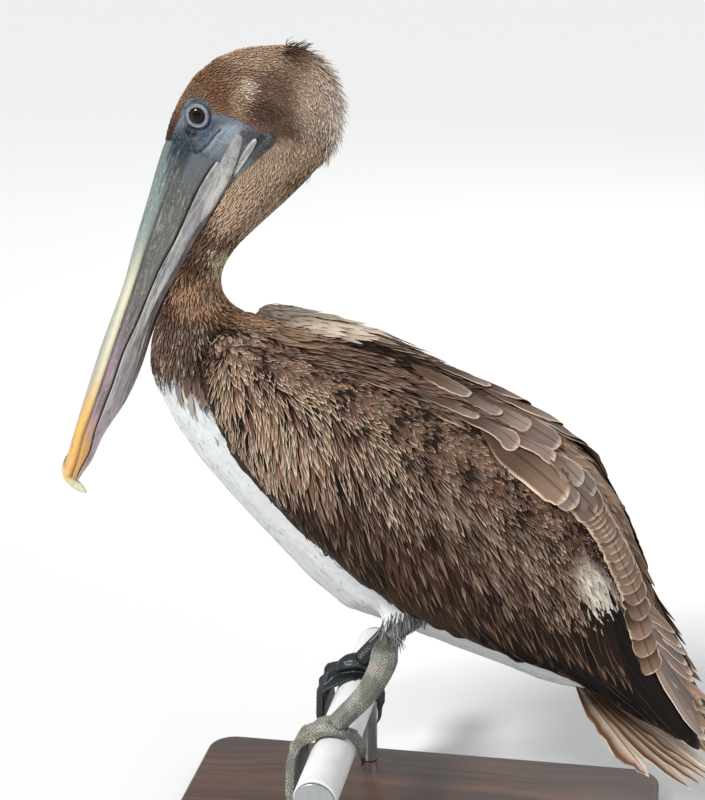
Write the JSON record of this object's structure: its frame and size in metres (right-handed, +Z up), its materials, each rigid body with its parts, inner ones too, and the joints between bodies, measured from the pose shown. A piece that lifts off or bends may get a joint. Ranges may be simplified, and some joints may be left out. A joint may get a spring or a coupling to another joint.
{
  "type": "brown pelican model",
  "caption": "Life-size still model of a young brown pelican perched on a short handrail, held by a flat display stand.",
  "frame": {"origin": "point of the base's underside directly below the middle of the rail's axis", "axes": "+Z up, -X the way the bird faces, -Y the bird's left side; the rail runs along Y"},
  "size_m": [0.5422, 0.299, 0.6714],
  "materials": {
    "plumage_head": "short velvety feathers over a moulded form",
    "plumage_body": "soft body feathers over a moulded form",
    "plumage_wing": "overlapping vaned feathers",
    "plumage_tail": "worn vaned feathers",
    "bill_horn": "satin cast resin, painted as horn",
    "nail_horn": "polished cast resin, painted as horn",
    "pouch_skin": "folded bare skin",
    "leg_skin": "scaled bare skin",
    "claw_horn": "dark horn",
    "eye": "dark glass eye",
    "white_paint": "gloss white paint on tube",
    "steel": "satin",
    "stand_wood": "dark stained and lacquered"
  },
  "bodies": {
    "root": {"head": "plumage_head", "eye_left": "eye", "eye_right": "eye", "bill_upper": "bill_horn", "bill_lower": "bill_horn", "bill_nail": "nail_horn", "pouch": "pouch_skin", "neck_upper": "plumage_head", "neck_lower": "plumage_head", "trunk": "plumage_body", "tail": "plumage_tail", "wing_left": "plumage_wing", "wing_right": "plumage_wing", "thigh_left": "plumage_body", "thigh_right": "plumage_body", "leg_left": "leg_skin", "leg_right": "leg_skin", "foot_left": "leg_skin", "foot_right": "leg_skin", "claw_left_outer": "claw_horn", "claw_left_middle": "claw_horn", "claw_left_inner": "claw_horn", "claw_left_hind": "claw_horn", "claw_right_outer": "claw_horn", "claw_right_middle": "claw_horn", "claw_right_inner": "claw_horn", "claw_right_hind": "claw_horn", "perch_rail": "white_paint", "perch_cap_near": "steel", "perch_cap_far": "steel", "stand_rod_near": "steel", "stand_rod_far": "steel", "stand_base": "stand_wood"}
  },
  "joints": []
}
